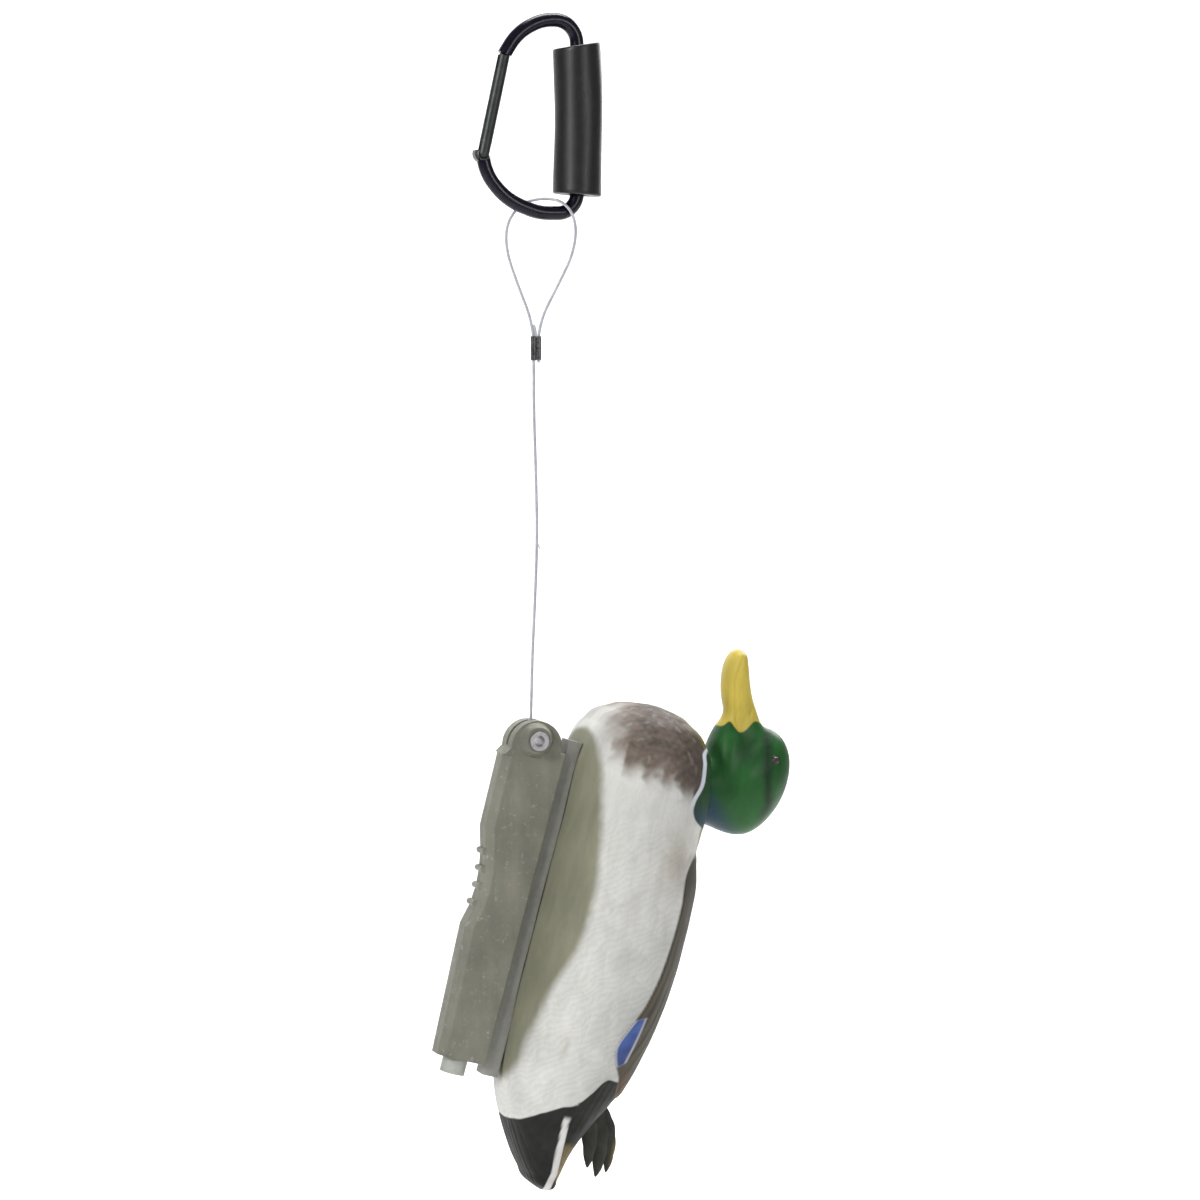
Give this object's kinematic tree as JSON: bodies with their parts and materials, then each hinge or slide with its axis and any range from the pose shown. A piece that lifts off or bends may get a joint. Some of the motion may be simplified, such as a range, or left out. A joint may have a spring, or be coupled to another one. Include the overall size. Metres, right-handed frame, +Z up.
{
  "type": "hanging duck decoy",
  "caption": "Hollow mallard drake decoy with a weighted keel, hung nose up by a crimped line from a foam-gripped carabiner.",
  "frame": {"origin": "the point inside the carabiner's top bow where it bears on what holds it", "axes": "+Z up, +X towards the decoy's back as it hangs, Y across the decoy, whose plane of symmetry is y = 0"},
  "size_m": [0.2814, 0.17, 0.8786],
  "materials": {
    "anodised_rod": "satin",
    "gate_metal": "satin",
    "steel": "satin",
    "foam_grip": "matte",
    "line_cord": "satin",
    "crimp_metal": "gloss",
    "keel_plastic": "matte",
    "rail_plastic": "matte",
    "eyelet_metal": "satin",
    "ballast_steel": "matte",
    "plug_plastic": "matte",
    "seal_rubber": "matte",
    "body_paint": "matte",
    "bushing_plastic": "matte",
    "head_paint": "satin",
    "eye_plastic": "gloss",
    "feather_rubber": "matte"
  },
  "bodies": {
    "carabiner": {"carabiner_body": "anodised_rod", "gate_pin": "steel"},
    "gate": {"gate_arm": "gate_metal", "latch_pin": "steel", "gate_plunger": "steel", "gate_spring": "steel"},
    "sleeve": {"grip_sleeve": "foam_grip"},
    "line": {"decoy_line": "line_cord", "crimp_sleeve": "crimp_metal", "line_eye": "steel"},
    "decoy": {"keel_shell_left": "keel_plastic", "keel_shell_right": "keel_plastic", "nose_eyelet": "eyelet_metal", "keel_ballast": "ballast_steel", "keel_rail": "rail_plastic", "rail_screws": "steel", "body_shell": "body_paint", "neck_bushing": "bushing_plastic", "tail_curl": "feather_rubber"},
    "head": {"head_shell": "head_paint", "neck_clip": "steel", "eye_left": "eye_plastic", "eye_right": "eye_plastic"},
    "plug": {"ballast_plug": "plug_plastic", "plug_seal": "seal_rubber"}
  },
  "joints": [
    {"name": "gate_open", "type": "hinge", "parent": "carabiner", "child": "gate", "pos_m": [-0.0529, 0, -0.09375], "axis": [0, 1, 0], "range_deg": [0, 28], "stiffness_Nm_per_rad": 0.06, "springref_deg": -22.92},
    {"name": "sleeve_turn", "type": "hinge", "parent": "carabiner", "child": "sleeve", "pos_m": [0.0195, 0, -0.068], "axis": [0, 0, 1], "continuous": true},
    {"name": "line_swing", "type": "hinge", "parent": "carabiner", "child": "line", "pos_m": [-0.004, 0, -0.137], "axis": [1, 0, 0], "range_deg": [-30, 30]},
    {"name": "decoy_swing", "type": "hinge", "parent": "line", "child": "decoy", "pos_m": [-0.0168, 0, -0.528], "axis": [0, 1, 0], "range_deg": [-40, 60]},
    {"name": "head_turn", "type": "hinge", "parent": "decoy", "child": "head", "pos_m": [0.11817, 0, -0.56899], "axis": [0.9647, 0, -0.2634], "range_deg": [-70, 70]},
    {"name": "plug_pull", "type": "slide", "parent": "decoy", "child": "plug", "axis": [-0.2634, 0, -0.9647], "range_m": [0, 0.015]}
  ]
}
